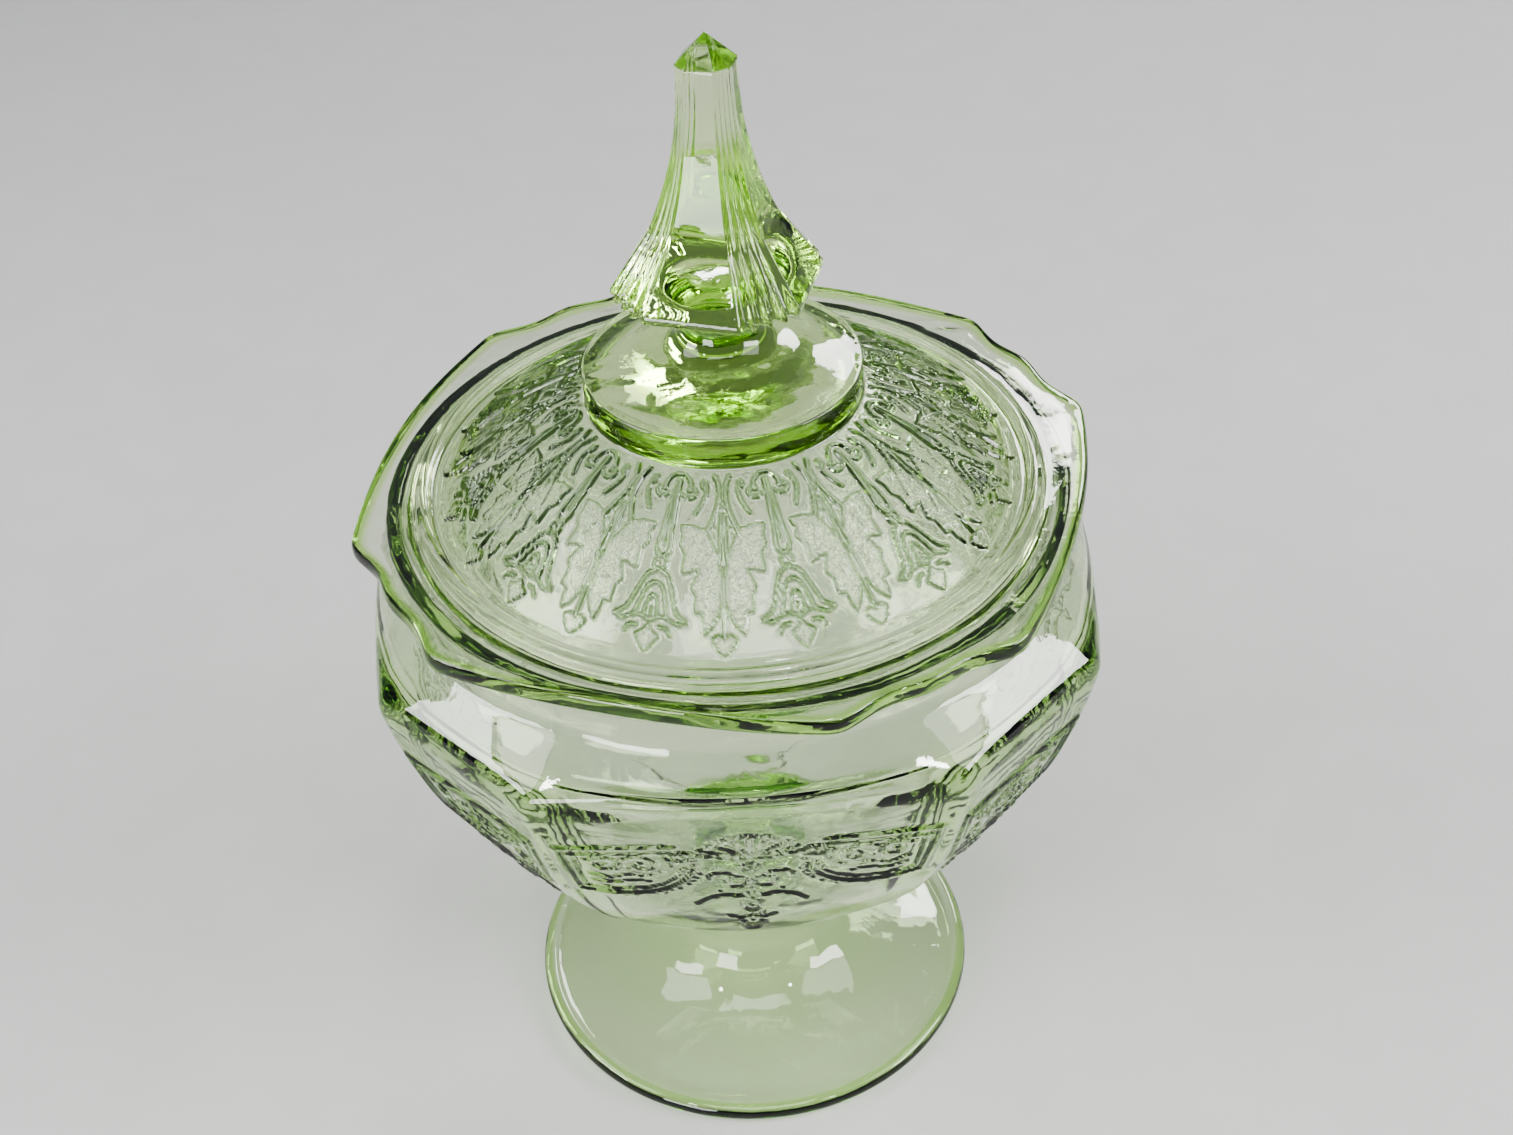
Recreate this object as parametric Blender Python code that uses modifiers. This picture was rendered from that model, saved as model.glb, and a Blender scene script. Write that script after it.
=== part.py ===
"""A footed candy dish with a lift-off lid, in pressed glass."""

import math

import bmesh
import bpy

# Overall sizes, in metres. The origin is the centre of the foot's underside.
TOTAL_HEIGHT = 0.2158
SHOULDER_CORNER_RADIUS = 0.0727
FOOT_RADIUS = 0.0465

# The bowl: eight sides, four long ones and four short ones, that fade into a round base.
RIM_HEIGHT = TOTAL_HEIGHT * 0.596
SHOULDER_HEIGHT = TOTAL_HEIGHT * 0.523
FLAT_PANEL_TOP = TOTAL_HEIGHT * 0.454
FLAT_PANEL_BOTTOM = TOTAL_HEIGHT * 0.408
ROUND_BASE_HEIGHT = TOTAL_HEIGHT * 0.232
BOWL_FLOOR_HEIGHT = TOTAL_HEIGHT * 0.204
MOUTH_RADIUS = SHOULDER_CORNER_RADIUS * 0.850
WALL = 0.0028
RIM_BAND_HEIGHT = 0.0064
LONG_SIDE_HALF_ANGLE = math.radians(30)
SHOULDER_BOW = 0.912
BODY_BOW = 0.890

# The pulls of the bowl's side curve: shares of the shoulder's radius, and of the depth below it.
SIDE_PULL_RADIUS = 0.93
SIDE_PULL_DEPTH = 0.45
BASE_PULL_RADIUS = 0.69
BASE_CENTRE_RADIUS = 0.06

# The stem and the hollow foot.
STEM_RADIUS = FOOT_RADIUS * 0.300
STEM_WALL = 0.0045
FOOT_RIM_HEIGHT = 0.0034
FOOT_LAND = 0.0028
HOLLOW_HEIGHT = BOWL_FLOOR_HEIGHT * 0.680

# The pulls of the foot's curves: shares of the stem's radius, and of the height named beside each.
WAIST_PULL_RADIUS = 0.93
WAIST_PULL_HEIGHT = BOWL_FLOOR_HEIGHT * 0.30
FLARE_PULL_RADIUS = 1.45
FLARE_PULL_HEIGHT = FOOT_RIM_HEIGHT * 2.2
UNDERSIDE_PULL_RADIUS = 1.30
UNDERSIDE_PULL_HEIGHT = FOOT_RIM_HEIGHT * 1.1
HOLLOW_PULL_RADIUS = 1.05
HOLLOW_PULL_HEIGHT = HOLLOW_HEIGHT * 0.30

# The lid, which rests on the bowl's rim and is kept in place by a ring inside the mouth.
SEAT_GAP = 0.0003
LID_CORNER_RADIUS = SHOULDER_CORNER_RADIUS * 0.941
LID_BOW = 0.931
LID_TURN = math.radians(-17.4)
NOTCH_DEPTH = 0.0011
FLANGE_THICKNESS = 0.0030
LIP_ROUNDING = 0.0012
LIP_CURVE_HEIGHT = 0.55
LIP_CURVE_INSET = 0.30
RING_SLACK = 0.0019
RING_THICKNESS = 0.0018
RING_TAPER = 0.0004
RING_DEPTH = 0.0030
DOME_RADIUS = MOUTH_RADIUS * 0.828
DOME_THICKNESS = 0.0028
DOME_RISE = TOTAL_HEIGHT * 0.085
DOME_FOOT_INSET = DOME_THICKNESS * 0.6
CEILING_DROP = DOME_THICKNESS * 0.7
BEAD_HEIGHT = 0.0009
BEAD_PLACES = (0.33, 0.53, 0.80)
COLLAR_RADIUS = MOUTH_RADIUS * 0.395
COLLAR_THICKNESS = 0.0057
COLLAR_EDGE_ROUNDING = 0.0006
CAP_HOLLOW_RADIUS = COLLAR_RADIUS * 0.700

# The pulls of the dome's outer and inner curves: radii, and shares of the dome's rise.
DOME_TOP_PULL = (COLLAR_RADIUS * 1.42, 0.20)
DOME_FOOT_PULL = (DOME_RADIUS * 0.87, 0.30)
INNER_FOOT_PULL = (DOME_RADIUS * 0.84, 0.34)
INNER_TOP_PULL = (CAP_HOLLOW_RADIUS * 1.75, 0.06)

# The finial: a square spire with fluted corners that flares into a skirt, on a round neck with a domed boss.
NECK_RADIUS = COLLAR_RADIUS * 0.320
NECK_FOOT_RADIUS = NECK_RADIUS * 1.45
NECK_WAIST_RADIUS = NECK_RADIUS * 0.75
NECK_HEIGHT = TOTAL_HEIGHT * 0.0720
NECK_WAIST_HEIGHT = NECK_HEIGHT * 0.70
NECK_FOOT_HEIGHT = NECK_HEIGHT * 0.26
BOSS_RADIUS = COLLAR_RADIUS * 0.70
BOSS_HEIGHT = NECK_HEIGHT * 0.11
SKIRT_RADIUS = COLLAR_RADIUS * 0.770
SKIRT_HEIGHT = TOTAL_HEIGHT * 0.0450
SKIRT_EDGE = 0.0012
BREAK_RADIUS = SKIRT_RADIUS * 0.618
SPIRE_TOP_RADIUS = SKIRT_RADIUS * 0.275
SPIRE_BOW = math.cos(LONG_SIDE_HALF_ANGLE) + 0.002
POINT_RADIUS = SPIRE_TOP_RADIUS * 0.06
POINT_HEIGHT = TOTAL_HEIGHT * 0.0220
SPIRE_FLARE = 2.2
FLUTE_DEPTH = 0.10

# How finely the surfaces are divided.
SEGMENTS = 48
BOWL_STEPS = 9
FOOT_STEPS = 8
HOLLOW_STEPS = 6
DOME_STEPS = 5
SPIRE_STEPS = 6
FLUTE_STEPS = 8
FILLET_STEPS = 4
EDGE_STEPS = 2
SHARP_ANGLE = math.radians(30)
MERGE = 0.00005
OVERLAP = 0.0015
FULL_TURN = 2 * math.pi
QUARTER_TURN = math.pi / 2

# The glass.
GLASS_ROUGHNESS = 0.05
GLASS_TRANSMISSION = 0.9
GLASS_INDEX = 1.51
BOWL_COLOUR = (0.62, 0.80, 0.55)
LID_COLOUR = (0.60, 0.80, 0.50)

# Heights and radii that follow from the sizes above.
BAND_BOTTOM = RIM_HEIGHT - RIM_BAND_HEIGHT
MOUTH_INNER_RADIUS = MOUTH_RADIUS - WALL
SEAT_HEIGHT = RIM_HEIGHT + SEAT_GAP
FLANGE_TOP = SEAT_HEIGHT + FLANGE_THICKNESS
COLLAR_BOTTOM = FLANGE_TOP + DOME_RISE
COLLAR_TOP = COLLAR_BOTTOM + COLLAR_THICKNESS
SKIRT_BOTTOM = COLLAR_TOP + NECK_HEIGHT
SKIRT_TOP = SKIRT_BOTTOM + SKIRT_EDGE + SKIRT_HEIGHT
SPIRE_TOP = TOTAL_HEIGHT - POINT_HEIGHT


def clear_scene():
    for obj in list(bpy.data.objects):
        bpy.data.objects.remove(obj, do_unlink=True)


def make_collection(name):
    collection = bpy.data.collections.new(name)
    bpy.context.scene.collection.children.link(collection)
    return collection


def make_material(name, colour):
    material = bpy.data.materials.new(name)
    material.use_nodes = True
    shader = material.node_tree.nodes["Principled BSDF"]
    shader.inputs["Base Color"].default_value = (*colour, 1)
    shader.inputs["Metallic"].default_value = 0
    shader.inputs["Roughness"].default_value = GLASS_ROUGHNESS
    shader.inputs["Transmission Weight"].default_value = GLASS_TRANSMISSION
    shader.inputs["IOR"].default_value = GLASS_INDEX
    material.diffuse_color = (*colour, 1)
    return material


def curve_points(start, pull_start, pull_end, end, count):
    """The points of a cubic curve in (radius, height), without its first point."""
    points = []
    for step in range(1, count + 1):
        t = step / count
        weights = ((1 - t) ** 3, 3 * t * (1 - t) ** 2, 3 * t * t * (1 - t), t**3)
        controls = (start, pull_start, pull_end, end)
        points.append(tuple(sum(w * c[axis] for w, c in zip(weights, controls)) for axis in (0, 1)))
    return points


def arc_points(centre, radius, first_angle, last_angle, count):
    """The points of an arc in (radius, height), without its first point."""
    points = []
    for step in range(1, count + 1):
        angle = first_angle + (last_angle - first_angle) * step / count
        points.append((centre[0] + radius * math.cos(angle), centre[1] + radius * math.sin(angle)))
    return points


def smooth_step(value):
    value = min(max(value, 0), 1)
    return value * value * (3 - 2 * value)


def angle_from_long_side(azimuth):
    """The angle to the middle of the nearest long side, from 0 to an eighth of a turn."""
    return abs((azimuth + QUARTER_TURN / 2) % QUARTER_TURN - QUARTER_TURN / 2)


def side_factor(azimuth, bow):
    """Radius over corner radius of an outline with four bowed long sides and four straight short ones."""
    angle = angle_from_long_side(azimuth)
    corner = LONG_SIDE_HALF_ANGLE
    if angle > corner:
        return math.cos(QUARTER_TURN / 2 - corner) / math.cos(QUARTER_TURN / 2 - angle)
    sagitta = bow - math.cos(corner)
    bow_radius = (math.sin(corner) ** 2 + sagitta**2) / (2 * sagitta)
    centre = bow - bow_radius
    return centre * math.cos(angle) + math.sqrt(bow_radius**2 - (centre * math.sin(angle)) ** 2)


def fluted_factor(azimuth, bow):
    """The same outline with two grooves, and a rib between them, along each short side."""
    angle = angle_from_long_side(azimuth)
    factor = side_factor(azimuth, bow)
    if angle > LONG_SIDE_HALF_ANGLE:
        place = (angle - LONG_SIDE_HALF_ANGLE) / (QUARTER_TURN / 2 - LONG_SIDE_HALF_ANGLE)
        factor *= 1 - FLUTE_DEPTH * math.sin(math.pi * place)
    return factor


def notched_factor(azimuth, bow):
    """The same outline with two shallow notches, and a lobe between them, along each short side."""
    angle = angle_from_long_side(azimuth)
    factor = side_factor(azimuth, bow)
    if angle > LONG_SIDE_HALF_ANGLE:
        place = (angle - LONG_SIDE_HALF_ANGLE) / (QUARTER_TURN / 2 - LONG_SIDE_HALF_ANGLE)
        factor -= NOTCH_DEPTH / LID_CORNER_RADIUS * math.sin(math.pi * place) ** 2
    return factor


def place_ring(azimuths, height, reach_at, turn):
    """One ring of points at a height. reach_at gives the radius at an azimuth before the ring is turned."""
    ring = []
    for azimuth in azimuths:
        reach = reach_at(azimuth)
        ring.append((reach * math.cos(azimuth + turn), reach * math.sin(azimuth + turn), height))
    return ring


def even_azimuths():
    return [FULL_TURN * step / SEGMENTS for step in range(SEGMENTS)]


def link_mesh(name, bm, collection, material):
    mesh = bpy.data.meshes.new(name)
    bm.to_mesh(mesh)
    bm.free()
    mesh.materials.append(material)
    mesh.shade_smooth()
    mesh.set_sharp_from_angle(angle=SHARP_ANGLE)
    obj = bpy.data.objects.new(name, mesh)
    collection.objects.link(obj)
    return obj


def loft(name, rings, collection, material, close_first):
    """Joins rings of points, from the top one down, and closes the last. Each runs anticlockwise from above."""
    bm = bmesh.new()
    rows = [[bm.verts.new(point) for point in ring] for ring in rings]
    for upper, lower in zip(rows, rows[1:]):
        for here in range(len(upper)):
            after = (here + 1) % len(upper)
            bm.faces.new((upper[here], lower[here], lower[after], upper[after]))
    ends = [(rows[-1], True)] + ([(rows[0], False)] if close_first else [])
    for row, faces_down in ends:
        centre = bm.verts.new((0, 0, row[0].co.z))
        for here in range(len(row)):
            first, second = row[here], row[(here + 1) % len(row)]
            bm.faces.new((second, first, centre) if faces_down else (first, second, centre))
    return link_mesh(name, bm, collection, material)


def turned(name, profile, collection, material):
    """A solid of revolution. Its profile runs at +X, from the top of the axis down the outside."""
    bm = bmesh.new()
    verts = [bm.verts.new((radius, 0, height)) for radius, height in profile]
    for pair in zip(verts, verts[1:]):
        bm.edges.new(pair)
    obj = link_mesh(name, bm, collection, material)
    screw = obj.modifiers.new("turn", "SCREW")
    screw.axis = "Z"
    screw.angle = FULL_TURN
    screw.steps = SEGMENTS
    screw.render_steps = SEGMENTS
    screw.use_merge_vertices = True
    screw.merge_threshold = MERGE
    screw.use_smooth_shade = True
    return obj


def add_boolean(obj, tool, operation, name):
    modifier = obj.modifiers.new(name, "BOOLEAN")
    modifier.operation = operation
    modifier.solver = "EXACT"
    modifier.object = tool
    tool.hide_render = True
    tool.hide_set(True)
    tool.display_type = "WIRE"


def bowl_ring(radius, height):
    """The bowl's outside at one height: octagonal at the shoulder, flatter on the panels, round at the base."""
    rise = smooth_step((height - FLAT_PANEL_TOP) / (SHOULDER_HEIGHT - FLAT_PANEL_TOP))
    bow = BODY_BOW + (SHOULDER_BOW - BODY_BOW) * rise
    if height > SHOULDER_HEIGHT:
        roundness = min((height - SHOULDER_HEIGHT) / (BAND_BOTTOM - SHOULDER_HEIGHT), 1)
    else:
        roundness = smooth_step((FLAT_PANEL_BOTTOM - height) / (FLAT_PANEL_BOTTOM - ROUND_BASE_HEIGHT))

    def reach_at(azimuth):
        return radius * (roundness + (1 - roundness) * side_factor(azimuth, bow))

    return place_ring(even_azimuths(), height, reach_at, 0)


def build_bowl(parts, tools, material):
    shoulder = (SHOULDER_CORNER_RADIUS, SHOULDER_HEIGHT)
    depth = SHOULDER_HEIGHT - BOWL_FLOOR_HEIGHT
    half_way = ((MOUTH_RADIUS + shoulder[0]) / 2, (BAND_BOTTOM + SHOULDER_HEIGHT) / 2)
    profile = [(MOUTH_RADIUS, RIM_HEIGHT), (MOUTH_RADIUS, BAND_BOTTOM), half_way, shoulder]
    side_pull = (shoulder[0] * SIDE_PULL_RADIUS, SHOULDER_HEIGHT - depth * SIDE_PULL_DEPTH)
    base_pull = (shoulder[0] * BASE_PULL_RADIUS, BOWL_FLOOR_HEIGHT)
    base_centre = (shoulder[0] * BASE_CENTRE_RADIUS, BOWL_FLOOR_HEIGHT)
    profile += curve_points(shoulder, side_pull, base_pull, base_centre, BOWL_STEPS)
    rings = [bowl_ring(radius, height) for radius, height in profile]
    bowl = loft("footed_bowl", rings, parts, material, False)
    shell = bowl.modifiers.new("wall", "SOLIDIFY")
    shell.thickness = WALL
    shell.offset = -1
    shell.use_even_offset = True
    add_boolean(bowl, build_foot(tools, material), "UNION", "foot")
    return bowl


def build_foot(collection, material):
    """The stem, which reaches into the bowl's floor, and the flared foot with the hollow under it."""
    top = BOWL_FLOOR_HEIGHT + OVERLAP
    edge = FOOT_RIM_HEIGHT / 2
    stem_top = (STEM_RADIUS, BOWL_FLOOR_HEIGHT - OVERLAP)
    profile = [(0, top), (STEM_RADIUS, top), stem_top]
    waist_pull = (STEM_RADIUS * WAIST_PULL_RADIUS, WAIST_PULL_HEIGHT)
    flare_pull = (STEM_RADIUS * FLARE_PULL_RADIUS, FLARE_PULL_HEIGHT)
    flare_end = (FOOT_RADIUS - edge, FOOT_RIM_HEIGHT)
    profile += curve_points(stem_top, waist_pull, flare_pull, flare_end, FOOT_STEPS)
    profile += arc_points((FOOT_RADIUS - edge, edge), edge, QUARTER_TURN, -QUARTER_TURN, FILLET_STEPS)
    land = (FOOT_RADIUS - edge - FOOT_LAND, 0)
    profile.append(land)
    hollow_radius = STEM_RADIUS - STEM_WALL
    crown = (0, HOLLOW_HEIGHT - hollow_radius)
    underside_pull = (STEM_RADIUS * UNDERSIDE_PULL_RADIUS, UNDERSIDE_PULL_HEIGHT)
    hollow_pull = (hollow_radius * HOLLOW_PULL_RADIUS, HOLLOW_PULL_HEIGHT)
    profile += curve_points(land, underside_pull, hollow_pull, (hollow_radius, crown[1]), HOLLOW_STEPS)
    profile += arc_points(crown, hollow_radius, 0, QUARTER_TURN, FILLET_STEPS)[:-1]
    profile.append((0, HOLLOW_HEIGHT))
    return turned("foot_tool", profile, collection, material)


def lid_profile():
    """From the top of the neck down the outside, round the locating ring, and up the underside."""
    neck_top = SKIRT_BOTTOM + SKIRT_HEIGHT / 2
    profile = [(0, neck_top), (NECK_RADIUS, neck_top), (NECK_RADIUS, SKIRT_BOTTOM)]
    waist_pull = (NECK_WAIST_RADIUS, COLLAR_TOP + NECK_WAIST_HEIGHT)
    foot_pull = (NECK_RADIUS, COLLAR_TOP + NECK_FOOT_HEIGHT)
    neck_foot = (NECK_FOOT_RADIUS, COLLAR_TOP + NECK_FOOT_HEIGHT)
    profile += curve_points(profile[-1], waist_pull, foot_pull, neck_foot, FILLET_STEPS)
    profile.append((BOSS_RADIUS, COLLAR_TOP + BOSS_HEIGHT))
    edge = COLLAR_EDGE_ROUNDING
    edge_centre = (COLLAR_RADIUS - edge, COLLAR_TOP - edge)
    profile.append((edge_centre[0], COLLAR_TOP))
    profile += arc_points(edge_centre, edge, QUARTER_TURN, 0, EDGE_STEPS)
    profile.append((COLLAR_RADIUS, COLLAR_BOTTOM))
    dome_foot = (DOME_RADIUS, FLANGE_TOP + BEAD_HEIGHT)
    top_pull = (DOME_TOP_PULL[0], COLLAR_BOTTOM - DOME_RISE * DOME_TOP_PULL[1])
    foot_pull = (DOME_FOOT_PULL[0], dome_foot[1] + DOME_RISE * DOME_FOOT_PULL[1])
    profile += curve_points(profile[-1], top_pull, foot_pull, dome_foot, DOME_STEPS)
    ring_outer = MOUTH_INNER_RADIUS - RING_SLACK
    ring_inner = ring_outer - RING_THICKNESS
    bead = [DOME_RADIUS + (ring_outer - DOME_RADIUS) * place for place in BEAD_PLACES]
    profile += [(bead[0], FLANGE_TOP), (bead[1], FLANGE_TOP + BEAD_HEIGHT)]
    profile += [(bead[2], FLANGE_TOP + BEAD_HEIGHT), (ring_outer, FLANGE_TOP)]
    blank = LID_CORNER_RADIUS + OVERLAP
    profile += [(blank, FLANGE_TOP), (blank, SEAT_HEIGHT), (ring_outer, SEAT_HEIGHT)]
    profile += [(ring_outer - RING_TAPER, SEAT_HEIGHT - RING_DEPTH)]
    profile += [(ring_inner, SEAT_HEIGHT - RING_DEPTH), (ring_inner - RING_TAPER, SEAT_HEIGHT)]
    inner_foot = (DOME_RADIUS - DOME_FOOT_INSET, SEAT_HEIGHT)
    profile.append(inner_foot)
    ceiling = COLLAR_BOTTOM - CEILING_DROP
    foot_pull = (INNER_FOOT_PULL[0], SEAT_HEIGHT + DOME_RISE * INNER_FOOT_PULL[1])
    top_pull = (INNER_TOP_PULL[0], ceiling - DOME_RISE * INNER_TOP_PULL[1])
    profile += curve_points(inner_foot, foot_pull, top_pull, (CAP_HOLLOW_RADIUS, ceiling), DOME_STEPS)
    profile.append((0, ceiling))
    return profile


def build_outline(collection, material):
    """A column with the lid's eight-sided outline, and a rounded bulge where the flange's lip is."""
    middle = (SEAT_HEIGHT + FLANGE_TOP) / 2
    curve_height = FLANGE_THICKNESS / 2 * LIP_CURVE_HEIGHT
    curve_inset = LIP_ROUNDING * LIP_CURVE_INSET
    levels = [(TOTAL_HEIGHT + OVERLAP, LIP_ROUNDING), (FLANGE_TOP, LIP_ROUNDING)]
    levels += [(middle + curve_height, curve_inset), (middle, 0), (middle - curve_height, curve_inset)]
    levels += [(SEAT_HEIGHT, LIP_ROUNDING), (SEAT_HEIGHT - 2 * RING_DEPTH, LIP_ROUNDING)]
    rings = []
    for height, inset in levels:
        def reach_at(azimuth, inset=inset):
            return LID_CORNER_RADIUS * notched_factor(azimuth, LID_BOW) - inset

        rings.append(place_ring(even_azimuths(), height, reach_at, LID_TURN))
    return loft("outline_tool", rings, collection, material, True)


def spire_azimuths():
    """Three points across each broad face and, closer together, points across each fluted corner."""
    azimuths = []
    corner_width = QUARTER_TURN - 2 * LONG_SIDE_HALF_ANGLE
    for quarter in range(4):
        facing = quarter * QUARTER_TURN
        azimuths += [facing + LONG_SIDE_HALF_ANGLE / 2 * side for side in (-1, 0, 1)]
        first = facing + LONG_SIDE_HALF_ANGLE
        azimuths += [first + corner_width * step / FLUTE_STEPS for step in range(FLUTE_STEPS + 1)]
    return azimuths


def spire_ring(radius, height, shape):
    def reach_at(azimuth):
        return radius * shape(azimuth, SPIRE_BOW)

    return place_ring(spire_azimuths(), height, reach_at, LID_TURN)


def build_finial(collection, material):
    shaft_height = SPIRE_TOP - SKIRT_TOP
    levels = [(POINT_RADIUS, TOTAL_HEIGHT)]
    for step in range(SPIRE_STEPS + 1):
        share = step / SPIRE_STEPS
        radius = SPIRE_TOP_RADIUS + (BREAK_RADIUS - SPIRE_TOP_RADIUS) * share**SPIRE_FLARE
        levels.append((radius, SPIRE_TOP - shaft_height * share))
    levels += [(SKIRT_RADIUS, SKIRT_BOTTOM + SKIRT_EDGE), (SKIRT_RADIUS - SKIRT_EDGE / 2, SKIRT_BOTTOM)]
    rings = [spire_ring(radius, height, fluted_factor) for radius, height in levels]
    under = SKIRT_BOTTOM - SKIRT_EDGE
    rings += [spire_ring(radius, under, side_factor) for radius in (NECK_RADIUS * 1.2, NECK_RADIUS / 2)]
    return loft("finial_tool", rings, collection, material, True)


def build_lid(parts, tools, material):
    lid = turned("lid", lid_profile(), parts, material)
    add_boolean(lid, build_outline(tools, material), "INTERSECT", "outline")
    add_boolean(lid, build_finial(tools, material), "UNION", "finial")
    return lid


def main():
    clear_scene()
    parts = make_collection("candy_dish")
    tools = make_collection("tools")
    build_bowl(parts, tools, make_material("bowl_glass", BOWL_COLOUR))
    lid = build_lid(parts, tools, make_material("lid_glass", LID_COLOUR))
    lift = bpy.data.objects.new("lid_lift_axis", None)
    parts.objects.link(lift)
    lid.parent = lift


main()
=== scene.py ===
import math
import bpy
import numpy as np
from mathutils import Matrix, Vector


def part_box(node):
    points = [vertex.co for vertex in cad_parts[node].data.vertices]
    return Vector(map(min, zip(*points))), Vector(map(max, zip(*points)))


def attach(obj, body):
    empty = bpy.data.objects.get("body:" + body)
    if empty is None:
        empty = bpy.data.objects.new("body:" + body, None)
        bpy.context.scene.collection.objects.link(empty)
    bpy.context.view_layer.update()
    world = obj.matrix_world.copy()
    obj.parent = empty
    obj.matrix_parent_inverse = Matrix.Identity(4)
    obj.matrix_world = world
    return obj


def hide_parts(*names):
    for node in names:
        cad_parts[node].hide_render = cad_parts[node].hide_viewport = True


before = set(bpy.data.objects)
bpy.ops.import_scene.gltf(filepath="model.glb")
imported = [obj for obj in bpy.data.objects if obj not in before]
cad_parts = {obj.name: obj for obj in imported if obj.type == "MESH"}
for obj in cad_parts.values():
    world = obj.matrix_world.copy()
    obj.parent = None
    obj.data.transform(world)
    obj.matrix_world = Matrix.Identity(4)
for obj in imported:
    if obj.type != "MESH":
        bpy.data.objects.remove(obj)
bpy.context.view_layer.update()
mm = 0.001
deg = math.pi / 180
corner = 30 * deg  # a long side's half angle; the short side takes the rest of the quarter
halfQuarter = math.pi / 4
sectors = 4
weldDistance = 0.02 * mm
roundColumns, edgeColumns, coreColumns = 60, 90, 36  # across a quarter: turned parts, rims, the bowl's floor
print("frame loaded:", sorted(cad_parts))


def smoothStep(value):
    value = np.clip(value, 0, 1)
    return value * value * (3 - 2 * value)


def fromLongSide(azimuth):  # angle from the middle of the nearest long side
    return np.abs((azimuth + halfQuarter) % (2 * halfQuarter) - halfQuarter)


def sideShape(azimuth, bow):  # four bowed long sides, four straight short ones
    angle = fromLongSide(azimuth)
    sagitta = bow - math.cos(corner)
    bowRadius = (math.sin(corner) ** 2 + sagitta**2) / (2 * sagitta)
    centre = bow - bowRadius
    longSide = centre * np.cos(angle) + np.sqrt(bowRadius**2 - (centre * np.sin(angle)) ** 2)
    shortSide = math.cos(halfQuarter - corner) / np.cos(halfQuarter - angle)
    return np.where(angle > corner, shortSide, longSide)


def softShape(azimuth, bow, softness):  # the same outline with its corners eased over a few degrees
    offsets = np.linspace(-softness, softness, 7) * deg
    return sum(sideShape(azimuth + offset, bow) for offset in offsets) / len(offsets)


def bezier(start, pullStart, pullEnd, end, count):  # without its first point
    t = (np.arange(1, count + 1) / count)[:, None]
    first, second, third, last = (np.array(p, float) for p in (start, pullStart, pullEnd, end))
    return (1 - t) ** 3 * first + 3 * t * (1 - t) ** 2 * second + 3 * t * t * (1 - t) * third + t**3 * last


def arc(centre, radius, firstAngle, lastAngle, count):  # angles in degrees, first point left out
    angle = np.linspace(firstAngle, lastAngle, count + 1)[1:] * deg
    return np.stack([centre[0] + radius * np.cos(angle), centre[1] + radius * np.sin(angle)], 1)


def line(start, end, count):
    share = (np.arange(1, count + 1) / count)[:, None]
    return np.array(start, float) * (1 - share) + np.array(end, float) * share


def smoothPath(points, per=6):  # a soft curve through a stroke's own points
    points = np.array(points, float)
    if len(points) < 3:
        return points
    padded = np.vstack([2 * points[0] - points[1], points, 2 * points[-1] - points[-2]])
    out = [points[0]]
    for a, b, c, d in zip(padded, padded[1:], padded[2:], padded[3:]):
        for t in np.arange(1, per + 1) / per:
            square, cube = 2 * a - 5 * b + 4 * c - d, 3 * b - a - 3 * c + d
            out.append(0.5 * (2 * b + (c - a) * t + square * t**2 + cube * t**3))
    return np.array(out)


# the relief is drawn as a height over each dome or panel
def ridge(distance, width):  # a rounded line of that half width
    return np.clip(1 - (distance / width) ** 2, 0, 1) ** 1.5


def strokeDistance(x, y, path):
    best = np.full(x.shape, 1e9)
    for (ax, ay), (bx, by) in zip(path, path[1:]):
        dx, dy = bx - ax, by - ay
        length = max(dx * dx + dy * dy, 1e-9)
        t = np.clip(((x - ax) * dx + (y - ay) * dy) / length, 0, 1)
        best = np.minimum(best, np.hypot(x - ax - t * dx, y - ay - t * dy))
    return best


def insideShape(x, y, outline):
    inside = np.zeros(x.shape, bool)
    for (ax, ay), (bx, by) in zip(outline, np.roll(outline, -1, axis=0)):
        crosses = (ay > y) != (by > y)
        inside ^= crosses & (x < (bx - ax) * (y - ay) / (by - ay + 1e-12) + ax)
    return inside


shapeEdge = {"run": 0.5, "line": 0.42, "lineHeight": 0.85, "stippleRun": 0.35}  # millimetres


# place turns a motif's own units into millimetres
def drawRelief(x, y, place, weight, strokes, shapes, rings, beads):
    height = np.zeros(x.shape)
    stipple = np.zeros(x.shape)
    for width, tall, points in strokes:
        path = np.array([place(*p) for p in smoothPath(points)])
        height = np.maximum(height, tall * ridge(strokeDistance(x, y, path), width * weight))
    for tall, points in shapes:
        outline = np.array([place(*p) for p in points])
        inside = insideShape(x, y, outline)
        edge = strokeDistance(x, y, np.vstack([outline, outline[:1]]))
        height = np.maximum(height, np.where(inside, tall * smoothStep(edge / shapeEdge["run"]), 0))
        height = np.maximum(height, shapeEdge["lineHeight"] * ridge(edge, shapeEdge["line"]))
        stipple = np.maximum(stipple, np.where(inside, smoothStep(edge / shapeEdge["stippleRun"]), 0))
    for radius, width, tall, point in rings:
        cx, cy = place(*point)
        height = np.maximum(height, tall * ridge(np.abs(np.hypot(x - cx, y - cy) - radius), width))
    for radius, tall, point in beads:
        cx, cy = place(*point)
        height = np.maximum(height, tall * ridge(np.hypot(x - cx, y - cy), radius))
    return height, stipple


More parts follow.
